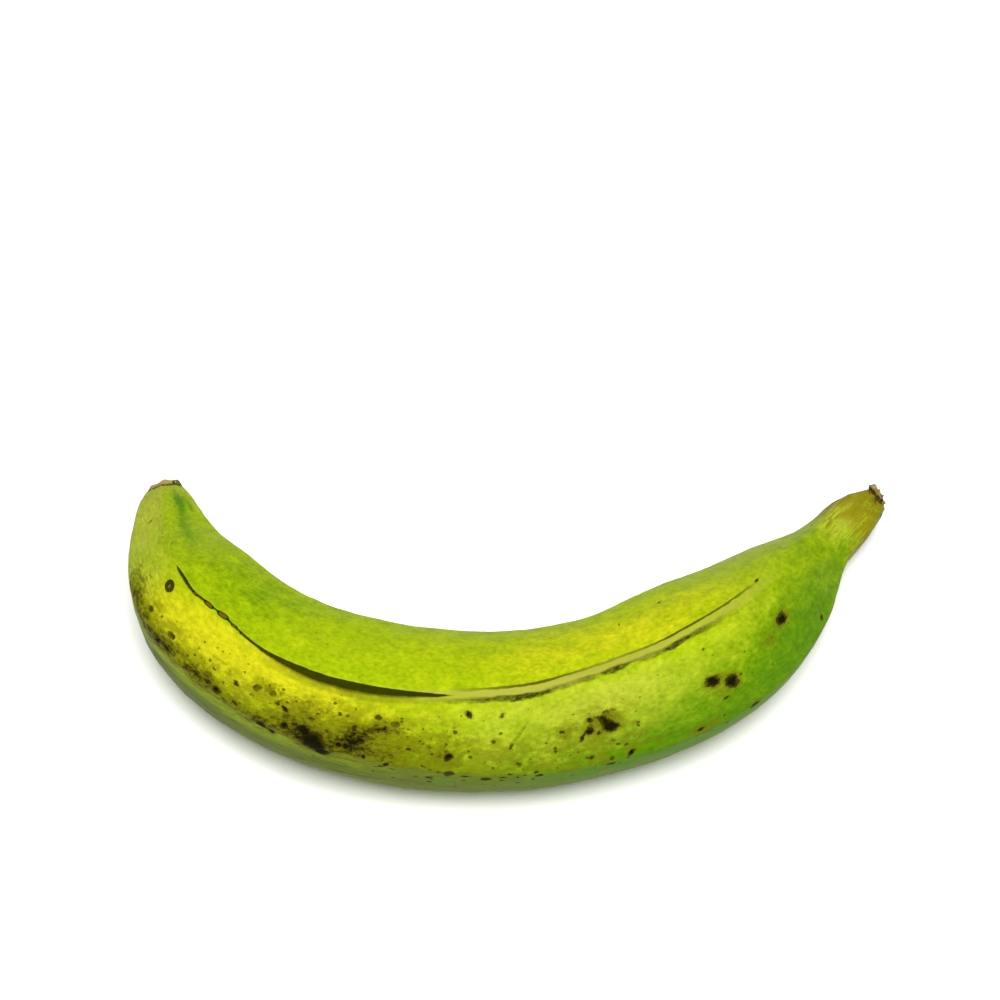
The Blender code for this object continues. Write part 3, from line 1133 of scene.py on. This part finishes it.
class Tree:
    """A material's node tree, written as expressions."""

    def __init__(self, name: str) -> None:
        """Start a material whose Principled shader still has its defaults.

        Args:
            name: The material's name.
        """
        self.material = bpy.data.materials.new(name)
        self.material.use_nodes = True
        self.nodes = self.material.node_tree.nodes
        self.links = self.material.node_tree.links
        self.shader = self.nodes["Principled BSDF"]

    def node(
        self, kind: str, settings: dict[str, object], sockets: dict[Key, object], output: Key = 0
    ) -> Value:
        """Add a node: its settings first, then its sockets' values or links.

        Args:
            kind: The node's type.
            settings: Its settings by name.
            sockets: Its inputs by name or number, as values or as outputs.
            output: The output that is returned, by name or number.

        Returns:
            That output.
        """
        made = self.nodes.new(kind)
        for key, setting in settings.items():
            setattr(made, key, setting)
        for key, given in sockets.items():
            self.feed(made.inputs[key], given)
        return Value(self, made.outputs[output])

    def feed(self, socket: bpy.types.NodeSocket, given: object) -> None:
        """Link an output to a socket, or set the socket's own value.

        Args:
            socket: The socket that is fed.
            given: An output, a colour, or the value that the socket takes.
        """
        if isinstance(given, Value):
            self.links.new(given.socket, socket)
        elif isinstance(given, Shade):
            socket.default_value = given.linear()
        else:
            socket.default_value = given

    def maths(self, operation: str, first: Number, second: Optional[Number] = None) -> Value:
        """A Math node on one or two numbers."""
        sockets = {0: first} if second is None else {0: first, 1: second}
        return self.node("ShaderNodeMath", {"operation": operation}, sockets)

    def mix(self, factor: Number, first: object, second: object) -> Value:
        """The first colour where the factor is 0, the second where it is 1."""
        sockets = {0: factor, 6: first, 7: second}
        return self.node("ShaderNodeMix", {"data_type": "RGBA"}, sockets, 2)

    def vector(self, operation: str, first: object, second: object) -> Value:
        """A Vector Math node on two vectors."""
        return self.node("ShaderNodeVectorMath", {"operation": operation}, {0: first, 1: second})

    def scaled(self, vector: Value, amount: Number) -> Value:
        """A vector or colour times a number."""
        return self.node("ShaderNodeVectorMath", {"operation": "SCALE"}, {0: vector, "Scale": amount})

    def field(self, name: str, output: str = "Fac") -> Value:
        """A named value of the piece's points."""
        return self.node("ShaderNodeAttribute", {"attribute_name": name}, {}, output)

    def skin_across(self) -> Value:
        """Mm round the fruit from the top ridge, above 0 on the inner side."""
        chart = self.node("ShaderNodeUVMap", {"uv_map": "skin"}, {})
        return self.node("ShaderNodeSeparateXYZ", {}, {0: chart}, 1)

    def shrunk(self, place: Value, size: tuple[float, float]) -> Value:
        """A place counted in grains or cells of a size in mm, along and across."""
        return self.vector("MULTIPLY", place, (1 / size[0], 1 / size[1], 1 / size[1]))

    def grain(
        self, place: Value, size: tuple[float, float], detail: float = 2.0, rough: float = 0.5
    ) -> Value:
        """Noise whose grains have a size in mm along the fruit and across it.

        Args:
            place: The straightened place on the fruit, in mm.
            size: Size of a grain along the fruit and across it.
            detail: Layers of finer grain.
            rough: How strong the finer layers are.

        Returns:
            Values round 0, mostly from -0.3 to 0.3.
        """
        sockets = {"Vector": self.shrunk(place, size), "Scale": 1.0, "Detail": detail, "Roughness": rough}
        return self.node("ShaderNodeTexNoise", {}, sockets) - 0.5

    def dots(self, place: Value, size: tuple[float, float], share: Number, soft: float = 0.08) -> Value:
        """Round dots, at most one in each cell of the given size in mm.

        Args:
            place: The straightened place on the fruit, in mm.
            size: Size of a cell along the fruit and across it.
            share: Largest dot's radius as a share of the cell; below 0 is none.
            soft: Softness of the edge as a share of the cell.

        Returns:
            1 inside a dot and 0 outside it.
        """
        sockets = {"Vector": self.shrunk(place, size), "Scale": 1.0, "Randomness": 1.0}
        far = self.node("ShaderNodeTexVoronoi", {}, sockets, "Distance")
        colour = self.node("ShaderNodeTexVoronoi", {}, sockets, "Color")
        draw = self.node("ShaderNodeSeparateColor", {}, {0: colour}, 0)
        return (draw * draw * share - far).step(0.0, soft)

    def bump(self, height: Value, strength: float, distance: float) -> Value:
        """Surface normal tipped by a height from 0 to 1 of `distance` metres."""
        sockets = {"Height": height, "Strength": strength, "Distance": distance}
        return self.node("ShaderNodeBump", {}, sockets)

    def finish(self, **sockets: object) -> bpy.types.Material:
        """Feed the shader's sockets and hand the material over.

        Args:
            **sockets: What each socket gets, by its name with _ for a space.

        Returns:
            The material.
        """
        for key, given in sockets.items():
            self.feed(self.shader.inputs[key.replace("_", " ")], given)
        return self.material


@dataclass
class PeelCoat:
    """The peel's colour as its layers go on, and the noises that they share.

    Attributes:
        tree: The tree that is written.
        place: The straightened place on the fruit, in mm.
        broad: Noise of broad patches.
        middling: Noise of middling patches.
        fine: Fine noise.
        hairs: Noise drawn out along the fruit.
        colour: The colour so far.
    """

    tree: Tree
    place: Value
    broad: Value
    middling: Value
    fine: Value
    hairs: Value
    colour: Union[Shade, Value]

    def cover(self, factor: Number, shade: Shade) -> None:
        """Paint a shade over the colour, as thickly as the factor says."""
        self.colour = self.tree.mix(factor, self.colour, shade)

    def grain(self, size: tuple[float, float], detail: float, rough: float = 0.5) -> Value:
        """Noise of another size, as `Tree.grain` makes it."""
        return self.tree.grain(self.place, size, detail, rough)

    def wobbled(self, amount: float, size: float) -> Value:
        """The place pushed about by noise, so that what is drawn on it is uneven.

        Args:
            amount: How far it is pushed, in mm.
            size: Size of the noise, in mm.

        Returns:
            The pushed place.
        """
        sockets = {"Vector": self.place, "Scale": 1 / size, "Detail": 2.0}
        noise = self.tree.node("ShaderNodeTexNoise", {}, sockets, "Color")
        centred = self.tree.vector("SUBTRACT", noise, (0.5, 0.5, 0.5))
        return self.tree.vector("ADD", self.place, self.tree.scaled(centred, 2 * amount))


@dataclass(frozen=True)
class PeelFinish:
    """The waxy green peel: ripeness, ridge marks, bruises, freckles and streaks, and painted shade low on
    the outer face and below the top ridge.

    Sizes of grains and freckle cells are in mm, along the fruit and across it.
    Places of the ridge marks are in mm from their middle, inner side above 0.
    """

    deep: Shade = Shade(74, 116, 2)
    green: Shade = Shade(134, 154, 6)
    yellow: Shade = Shade(172, 170, 18)
    straw: Shade = Shade(148, 156, 44)
    # Dull khaki, which also paints the shade of the low outer face
    khaki: Shade = Shade(86, 100, 22)
    shaded: Shade = Shade(72, 80, 10)
    olive: Shade = Shade(92, 94, 6)
    tan: Shade = Shade(142, 144, 48)
    dark_line: Shade = Shade(46, 46, 8)
    black: Shade = Shade(8, 10, 2)
    brown: Shade = Shade(44, 34, 6)
    stain: Shade = Shade(112, 98, 8)
    rim: Shade = Shade(160, 138, 76)
    cork: Shade = Shade(98, 74, 22)
    sheen: Shade = Shade(250, 255, 120)
    roughness: float = 0.55
    gloss: float = 0.05
    relief: float = 0.12 * MM
    broad_grain: tuple[float, float] = (26.0, 12.0)
    middling_grain: tuple[float, float] = (5.0, 3.6)
    fine_grain: tuple[float, float] = (1.4, 1.1)
    hair_grain: tuple[float, float] = (16.0, 0.55)
    pore_grain: tuple[float, float] = (0.45, 0.35)
    large_freckle: tuple[float, float] = (4.2, 3.4)
    small_freckle: tuple[float, float] = (1.8, 1.5)
    band_half: float = 1.3
    upper_line_at: float = 1.45
    lower_line_at: float = -1.40
    shadow_at: float = -1.6

    def material(self) -> bpy.types.Material:
        """Write the peel's material.

        Returns:
            The material.
        """
        tree = Tree("green_peel")
        place = tree.field("straight", "Vector")
        broad = tree.grain(place, self.broad_grain)
        middling = tree.grain(place, self.middling_grain, 3.0)
        fine = tree.grain(place, self.fine_grain, 2.0, 0.6)
        hairs = tree.grain(place, self.hair_grain, 2.0, 0.6)
        coat = PeelCoat(tree, place, broad, middling, fine, hairs, self.deep)
        self.ground(coat)
        streaks = self.streaks(coat)
        freckles = self.freckles(coat)
        ridge = self.top_ridge(coat)
        bruise = self.bruises(coat)
        spots = self.spots(coat, bruise)
        scorch = self.scorched_end(coat)
        marks = ridge.most(bruise).most(spots).most(scorch).most(freckles)
        pores = coat.grain(self.pore_grain, 2.0)
        height = 0.5 + 0.35 * pores + 0.5 * hairs * (0.25 + streaks) + 0.5 * fine - 0.35 * marks
        return tree.finish(
            Base_Color=coat.colour,
            Roughness=self.roughness + 0.28 * marks + 0.12 * streaks + 0.25 * fine,
            Normal=tree.bump(height, 0.6, self.relief),
            Specular_IOR_Level=self.gloss,
            Specular_Tint=self.sheen,
        )

    def ground(self, coat: PeelCoat) -> None:
        """Ground colour, from deep green over green to yellow, dulled to straw and khaki; low on the
        outer face the deep green and the khaki are partly painted shade.

        Args:
            coat: The coat, still deep green.
        """
        field, broad, middling, fine = coat.tree.field, coat.broad, coat.middling, coat.fine
        # Ripeness; its deep green on the lowest face is painted shade
        ripe_and_low_shade = field("ripeness_and_low_shade") + 0.55 * broad + 0.70 * middling + 0.35 * fine
        coat.cover(ripe_and_low_shade.step(-1.05, 0.10), self.green)
        coat.cover(ripe_and_low_shade.step(0.0, 1.0), self.yellow)
        coat.cover((field("straw") + 0.5 * middling + 0.3 * broad).step(0.15, 1.1), self.straw)
        # Dull khaki, and painted shade on the low outer face
        coat.cover((field("khaki") + 0.7 * middling + 0.3 * fine).step(0.15, 0.95), self.khaki)
        coat.colour = coat.tree.scaled(coat.colour, 1.0 + 0.75 * fine + 0.40 * middling)

    def streaks(self, coat: PeelCoat) -> Value:
        """Fine brownish streaks along the fruit.

        Args:
            coat: The coat so far.

        Returns:
            Where the streaks are.
        """
        lines = (coat.hairs + 0.30 * coat.middling).step(0.02, 0.16) * coat.tree.field("streaked")
        coat.cover(0.72 * lines, self.shaded)
        return lines

    def freckles(self, coat: PeelCoat) -> Value:
        """Brown freckles of two sizes, each with a faint olive ring.

        Args:
            coat: The coat so far.

        Returns:
            Where the freckles are.
        """
        tree = coat.tree
        freckled = tree.field("freckled") + 0.35 * tree.field("bruised") + 0.7 * coat.middling
        wobble = coat.wobbled(0.45, 1.2)
        large = tree.dots(wobble, self.large_freckle, (0.36 * freckled).least(0.42), 0.10)
        small = tree.dots(wobble, self.small_freckle, (0.46 * freckled + 0.06).least(0.44), 0.14)
        rings = tree.dots(wobble, self.large_freckle, (0.52 * freckled).least(0.60), 0.30)
        clouds = (coat.grain((3.4, 2.6), 4.0, 0.65) + 0.16 * freckled).step(0.04, 0.26)
        coat.cover(0.60 * rings.most(clouds * freckled.step(0.2, 1.0)), self.olive)
        dots = large.most(0.85 * small)
        coat.cover(0.90 * dots, self.brown)
        return dots

    def top_ridge(self, coat: PeelCoat) -> Value:
        """The top ridge: a pale band with dark edges, and to the left a black line, widened by painted
        shadow below it.

        Args:
            coat: The coat so far.

        Returns:
            Where the dark lines are.
        """
        field = coat.tree.field
        uneven = coat.grain((5.0, 2.0), 3.0)
        torn = coat.grain((1.6, 0.8), 3.0, 0.6)
        across = coat.tree.skin_across() - field("ridge_place") + 0.5 * uneven + 0.3 * torn
        band = across.window(0.0, self.band_half, 0.5) * field("ridge_tan")
        coat.cover(0.80 * band * (1.0 + 1.2 * torn), self.tan)
        upper = across.window(self.upper_line_at, 0.22 + 0.50 * uneven, 0.30) * field("ridge_upper_line")
        smudge = across.window(self.lower_line_at, 0.30 + 2.0 * uneven, 0.80) * field("ridge_lower_line")
        coat.cover(0.88 * upper, self.dark_line)
        coat.cover((0.88 + 1.5 * torn) * smudge, self.dark_line)
        # Painted shadow: a soft olive band on the outer side of the black line
        shadow = across.window(self.shadow_at, 0.5, 1.2) * field("ridge_shadow") * (0.8 + 1.2 * uneven)
        coat.cover(0.75 * shadow, self.olive)
        # The black line, widened on its outer side by painted shadow below the ridge
        half = field("ridge_seam")
        crisp = 1.0 - across.step(half - 0.05, half + 0.20)
        trailing = across.step(-1.15 * half - 0.15, -0.30 * half + 0.05)
        seam = crisp * trailing * half.step(0.02, 0.25)
        coat.cover(0.94 * seam, self.black)
        corky = field("corky") + 0.5 * torn
        rim, bark = corky.step(-0.45, -0.15), corky.step(0.02, 0.25)
        coat.cover(0.92 * rim, self.black)
        coat.cover(0.88 * bark, self.cork)
        return (seam.most(rim) - bark).most(upper).most(0.6 * smudge)

    def bruises(self, coat: PeelCoat) -> Value:
        """Soft olive bruises with ragged black-brown cores.

        Args:
            coat: The coat so far.

        Returns:
            Where the dark cores are.
        """
        bruised = coat.tree.field("bruised")
        torn = 1.2 * coat.grain((4.2, 2.6), 4.0, 0.65) + 1.6 * coat.grain((1.3, 1.0), 3.0, 0.65)
        field = bruised + torn
        inside = bruised.step(0.15, 0.60)
        halo = field.step(0.15, 0.85) * bruised.step(0.02, 0.40)
        core = field.step(1.12, 1.42) * inside
        coat.cover((0.85 + 1.2 * coat.fine) * halo, self.olive)
        coat.cover(0.80 * (field.step(0.75, 1.15) * inside), self.brown)
        coat.cover(0.93 * core, self.black)
        return core

    def spots(self, coat: PeelCoat, bruise: Value) -> Value:
        """Single dark spots with ragged edges and a faint olive ring.

        Args:
            coat: The coat so far.
            bruise: Where the peel is black already and a ring would lighten it.

        Returns:
            Where the spots are.
        """
        ragged = 1.2 * coat.grain((1.6, 1.2), 3.0, 0.6) + 0.4 * coat.fine
        field = coat.tree.field("spots") + ragged
        coat.cover(0.50 * field.step(-0.55, 0.15) * (1.0 - bruise), self.olive)
        core = field.step(0.0, 0.30)
        coat.cover(0.90 * core * (1.0 - 0.7 * bruise), self.brown)
        coat.cover(0.94 * field.step(0.32, 0.65), self.black)
        ring = coat.tree.field("ring") + 0.3 * ragged
        edge = ring.step(0.0, 0.20) - 0.45 * ring.step(0.66, 0.84)
        coat.cover(0.92 * edge.most(0.0), self.black)
        return core.most(edge)

    def scorched_end(self, coat: PeelCoat) -> Value:
        """Peel that has dried brown by the flower scar, and the cut's torn corky rim.

        Args:
            coat: The coat so far.

        Returns:
            Where it has dried.
        """
        dried = coat.tree.field("dried")
        stain = dried + 1.5 * coat.grain((5.0, 3.0), 4.0, 0.6) + 0.8 * coat.hairs
        coat.cover(0.80 * stain.step(0.10, 0.80) * dried.step(0.0, 0.3), self.stain)
        core = (dried + 1.2 * coat.grain((2.5, 3.0), 3.0, 0.6)).step(0.92, 1.12)
        coat.cover(0.92 * core, self.brown)
        torn = coat.tree.field("rim") + 1.2 * coat.grain((1.6, 1.1), 3.0, 0.6)
        edge = torn.step(0.20, 0.36)
        coat.cover(0.85 * edge, self.black)
        coat.cover(0.90 * torn.step(0.52, 0.70), self.rim)
        return core.most(edge)


@dataclass(frozen=True)
class DriedFinish:
    """Dry plant matter: the corky cut of the stem, or the crust of the flower.

    Attributes:
        name: The material's name.
        pale: Its lightest shade.
        ground: Its usual shade.
        dark: Its colour in hollows and pits: painted shade in the stem's pits, the crust's gap and
            between its lumps, and the own black of the flower's neck.
        grain_mm: Size of its coarse grain.
        rough: Its roughness.
        relief: Depth of its grain, in metres.
    """

    name: str
    pale: Shade
    ground: Shade
    dark: Shade
    grain_mm: float
    rough: float = 0.85
    relief: float = 0.25 * MM

    def material(self) -> bpy.types.Material:
        """Write the material: pale to ground by noise, dark in hollows and pits, partly as painted shade.

        Returns:
            The material.
        """
        tree = Tree(self.name)
        in_mm = tree.scaled(tree.node("ShaderNodeTexCoord", {}, {}, "Object"), 1 / MM)
        coarse = tree.grain(in_mm, (self.grain_mm, self.grain_mm), 4.0, 0.65)
        fine = tree.grain(in_mm, (self.grain_mm / 4, self.grain_mm / 4), 3.0, 0.7)
        colour = tree.mix((coarse + 0.6 * fine).step(-0.22, 0.22), self.ground, self.pale)
        # Dark where hollow: painted shade in pits, the gap and between lumps; the flower's neck is black
        # of its own
        hollow = tree.field("hollow") + 0.7 * coarse + 0.5 * fine
        return tree.finish(
            Base_Color=tree.mix(0.94 * hollow.step(0.30, 0.70), colour, self.dark),
            Roughness=self.rough + 0.1 * fine,
            Normal=tree.bump(0.5 + coarse + 0.8 * fine, 0.9, self.relief),
        )


CORK_FINISH = DriedFinish("corky_cut", Shade(224, 200, 158), Shade(186, 152, 104), Shade(62, 42, 22), 1.1)
SCAR_FINISH = DriedFinish("dried_flower", Shade(158, 130, 66), Shade(100, 80, 34), Shade(12, 10, 4), 0.9)


@dataclass(frozen=True)
class Fruit:
    """The whole outside of the fruit as one closed surface.

    Heights of the relief are in metres, and sizes of its grains are in mm along
    the fruit and across it.  The necks end at shares of the length.
    """

    shape: FruitShape = FruitShape()
    marks: RidgeMarks = RidgeMarks()
    stem: CutStem = CutStem()
    scar: FlowerScar = FlowerScar()
    rings: int = 496
    face_columns: int = 34
    end_crowding: float = 0.45
    lump: float = 0.00030
    lump_grain: tuple[float, float, float] = (24.0, 11.0, 11.0)
    flute: float = 0.00028
    flute_grain: tuple[float, float, float] = (30.0, 2.3, 2.3)
    pucker: float = 0.00012
    pucker_grain: tuple[float, float, float] = (4.5, 3.0, 3.0)
    sink: float = 0.00016
    stem_neck: float = 0.14
    flower_neck: tuple[float, float] = (0.84, 0.97)
    floor_gap: float = 0.00004

    def stations(self) -> np.ndarray:
        """Shares of the length where rings stand, closer together at both ends.

        Returns:
            The shares, from the cut to the flower scar.
        """
        even = np.linspace(0.0, 1.0, self.rings)
        crowded = 0.5 - 0.5 * np.cos(np.pi * even)
        share = (1 - self.end_crowding) * even + self.end_crowding * crowded
        return self.stem.start + (1 - self.stem.start) * share

    def across(self, radius: np.ndarray, angles: np.ndarray) -> np.ndarray:
        """Mm round the section from the top ridge, one column more than points.

        The length of each short side of a ring is summed up round the ring.

        Args:
            radius: Radii in metres, a row a ring.
            angles: Angles in radians, a row a ring.

        Returns:
            Lengths in mm, above 0 on the inner side and below 0 on the outer.
        """
        after_radius = np.roll(radius, -1, axis=1)
        turn = wrapped(np.roll(angles, -1, axis=1) - angles)
        side = np.sqrt(radius**2 + after_radius**2 - 2 * radius * after_radius * np.cos(turn))
        start = np.zeros((len(radius), 1))
        summed = np.concatenate((start, np.cumsum(side, axis=1)), axis=1)
        top = Ridge.TOP.value * self.face_columns
        return (summed - summed[:, top : top + 1]) / MM

    def grid(self) -> Grid:
        """Work out where the points of the body's skin lie.

        Returns:
            The grid.
        """
        along = self.stations()
        shape = self.shape
        angles = shape.angles(along, self.face_columns)
        radius = shape.radius(along, angles)
        flat = (along * shape.length)[:, None] + 0 * angles
        straight = np.stack((flat, radius * np.cos(angles), radius * np.sin(angles)), axis=2) / MM
        thick = shape.thick.read(along)[:, None] / MM
        return Grid(shape.length, along, thick, angles, radius, self.across(radius, angles), straight)

    def relief(self, grid: Grid, spots: np.ndarray) -> np.ndarray:
        """Small uneven shape of the skin, added to its radius.

        It is the sum of broad lumps, of flutes that run along both necks and
        fade towards the body, of a light pucker all over, and of a dip in spots.

        Args:
            grid: The points of the skin.
            spots: The spots' field.

        Returns:
            Metres to add to the radius.
        """
        lumps = Grain(Seed.LUMPS).read(grid.straight / self.lump_grain, 2)
        folds = Grain(Seed.FLUTES).read(grid.straight / self.flute_grain, 2)
        pucker = Grain(Seed.PUCKER).read(grid.straight / self.pucker_grain, 3)
        neck = 1 - step(grid.along, 0.0, self.stem_neck) + step(grid.along, *self.flower_neck)
        flutes = self.flute * folds * neck[:, None]
        dips = -self.sink * step(spots, 0.0, 0.8)
        return self.lump * lumps + flutes + self.pucker * pucker + dips

    def fields(self, grid: Grid) -> dict[str, np.ndarray]:
        """Named values that the materials read.

        Args:
            grid: The points of the skin.

        Returns:
            The fields by name.
        """
        by_ring = self.marks.read(grid.along) | {"dried": self.scar.dried(grid.along)}
        made = {name: values[:, None] * np.ones_like(grid.angles) for name, values in by_ring.items()}
        made |= {name: grid.patched(patches) for name, patches in PATCHES.items()}
        made |= {name: grid.spotted(spots) for name, spots in SPOTS.items()}
        return made | {"rim": self.stem.torn_rim(grid), "hollow": np.zeros_like(grid.angles)}

    def surface(self) -> Surface:
        """Work out the whole surface, with its fields, chart and zones.

        Returns:
            The surface, standing where the solid stands.
        """
        grid = self.grid()
        angles = grid.angles
        centre, forward, outward = self.shape.centre_line(grid.along)
        centre[:, 2] = self.shape.rest.read(grid.along) - (grid.radius * np.sin(angles)).min(axis=1)
        fields = self.fields(grid)
        smooth = section_points(centre, outward, grid.radius, angles)
        full = grid.radius + self.relief(grid, fields["spots"])
        body = section_points(centre, outward, full, angles)
        stem, stem_hollow = self.stem.close(OpenEnd(body[0], centre[0], -forward[0], angles[0]))
        scar, scar_hollow = self.scar.close(OpenEnd(body[-1], centre[-1], forward[-1], angles[-1]))
        low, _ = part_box(NODE)
        corner = smooth.reshape(-1, 3).min(axis=0)
        shift = np.array((low[0] - corner[0], low[1] - corner[1], 0.0))
        points = np.concatenate((stem[::-1], body, scar)) + shift
        points[:, :, 2] = np.maximum(points[:, :, 2], self.floor_gap)
        ends = (len(stem), len(scar))
        whole = {name: held(values, ends) for name, values in fields.items()}
        whole["straight"] = held(grid.straight, ends)
        whole["hollow"][: ends[0]] = stem_hollow[::-1]
        whole["hollow"][-ends[1] :] = scar_hollow
        length_mm = np.repeat(grid.straight[:, :1, 0], grid.across.shape[1], axis=1)
        chart = held(np.stack((length_mm, grid.across), axis=2), ends)
        return Surface(points, whole, chart, self.zones(ends))

    def zones(self, ends: tuple[int, int]) -> np.ndarray:
        """The zone of each row of faces: the cut, the peel and the scar.

        Args:
            ends: Rings of the cut and of the scar.

        Returns:
            One material index for each row of faces.
        """
        rows = np.full(ends[0] + self.rings + ends[1] - 1, Zone.PEEL.value)
        rows[: ends[0] - self.stem.profile.peel_rows] = Zone.CORK.value
        rows[ends[0] + self.rings - 1 + self.scar.profile.peel_rows :] = Zone.SCAR.value
        return rows

    def build(self) -> bpy.types.Object:
        """Build and dress the fruit.

        Returns:
            The piece.
        """
        mesh = ring_mesh("plantain_skin", self.surface())
        for finish in (PeelFinish(), CORK_FINISH, SCAR_FINISH):
            mesh.materials.append(finish.material())
        return add_piece("plantain_skin", mesh)


def section_points(
    centre: np.ndarray, outward: np.ndarray, radius: np.ndarray, angles: np.ndarray
) -> np.ndarray:
    """Points of sections: centre + radius * (cos(angle) * outward + sin(angle) * up).

    Args:
        centre: Centre of each section.
        outward: Its outward direction.
        radius: Radii, a row a section.
        angles: Angles in radians, a row a section.

    Returns:
        Rings of points.
    """
    points = centre[:, None, :] + (radius * np.cos(angles))[:, :, None] * outward[:, None, :]
    points[:, :, 2] += radius * np.sin(angles)
    return points


def held(values: np.ndarray, ends: tuple[int, int]) -> np.ndarray:
    """Repeat the first and last row of the body over the rings of the ends.

    Args:
        values: Values of the body, a row a ring.
        ends: Rings of the cut and of the scar.

    Returns:
        Values of every ring.
    """
    first = np.repeat(values[:1], ends[0], axis=0)
    last = np.repeat(values[-1:], ends[1], axis=0)
    return np.concatenate((first, values, last))


@dataclass(frozen=True)
class Studio:
    """Pale floor, soft light and the camera.

    Places and sizes are in metres, the lens and its sensor in mm.
    """

    floor_half: float = 3.0
    floor_shade: Shade = Shade(238, 238, 238)
    floor_rough: float = 0.9
    sky_strength: float = 0.32
    key_power: float = 17.0
    key_size: float = 0.60
    key_place: tuple[float, float, float] = (0.05, -0.24, 1.00)
    lens: float = 70.0
    sensor: float = 36.0
    elevation: float = 60.0
    distance: float = 0.5444
    target: tuple[float, float, float] = (0.0, 0.0, 0.020)
    picture_side: int = 1000
    target_pixel: tuple[float, float] = (513.8, 623.3)

    def build_floor(self) -> None:
        """A large flat floor, which is not part of the fruit."""
        half = self.floor_half
        corners = [(-half, -half, 0.0), (half, -half, 0.0), (half, half, 0.0), (-half, half, 0.0)]
        mesh = bpy.data.meshes.new("floor")
        mesh.from_pydata(corners, [], [(0, 1, 2, 3)])
        tree = Tree("pale_floor")
        mesh.materials.append(tree.finish(Base_Color=self.floor_shade, Roughness=self.floor_rough))
        floor = bpy.data.objects.new("floor", mesh)
        bpy.context.scene.collection.objects.link(floor)
        LOG.info("floor: %.1f m across", 2 * half)

    def build_light(self) -> None:
        """An even white surround, and one large soft light above and a little in front."""
        world = bpy.data.worlds.new("surround")
        world.use_nodes = True
        ground = world.node_tree.nodes["Background"]
        ground.inputs["Color"].default_value = (1.0, 1.0, 1.0, 1.0)
        ground.inputs["Strength"].default_value = self.sky_strength
        bpy.context.scene.world = world
        light = bpy.data.lights.new("key", "AREA")
        light.shape = "DISK"
        light.size = self.key_size
        light.energy = self.key_power
        key = bpy.data.objects.new("key", light)
        key.location = self.key_place
        key.rotation_mode = "QUATERNION"
        key.rotation_quaternion = (Vector(self.target) - key.location).to_track_quat("-Z", "Y")
        bpy.context.scene.collection.objects.link(key)
        LOG.info("light: %.0f W, %.1f m above the floor", self.key_power, self.key_place[2])

    def build_camera(self) -> None:
        """The camera looks down on the fruit and holds it at its place in the frame."""
        data = bpy.data.cameras.new("camera")
        data.lens = self.lens
        data.sensor_width = self.sensor
        angle = np.radians(self.elevation)
        back = Vector((0.0, -np.cos(angle), np.sin(angle)))
        up = Vector((0.0, np.sin(angle), np.cos(angle)))
        per_pixel = self.distance * self.sensor / self.lens / self.picture_side
        right_of_middle = (self.target_pixel[0] - self.picture_side / 2) * per_pixel
        below_middle = (self.target_pixel[1] - self.picture_side / 2) * per_pixel
        aim = Vector(self.target) + up * below_middle - Vector((right_of_middle, 0.0, 0.0))
        camera = bpy.data.objects.new("camera", data)
        camera.location = Vector(self.target) + back * self.distance
        level = (-back).to_track_quat("-Z", "Y")
        camera.rotation_mode = "QUATERNION"
        camera.rotation_quaternion = (-back).rotation_difference(aim - camera.location) @ level
        bpy.context.scene.collection.objects.link(camera)
        bpy.context.scene.camera = camera
        LOG.info("camera: %.0f mm lens, %.0f degrees down", self.lens, self.elevation)

    def build(self) -> None:
        """Build the floor, the light and the camera, and keep colours plain."""
        self.build_floor()
        self.build_light()
        self.build_camera()
        bpy.context.scene.view_settings.view_transform = "Standard"


def main() -> None:
    """Build the fruit and the studio round it."""
    logging.basicConfig(level=logging.INFO, format="%(name)s: %(message)s")
    Fruit().build()
    Studio().build()


if __name__ == "__main__":
    main()
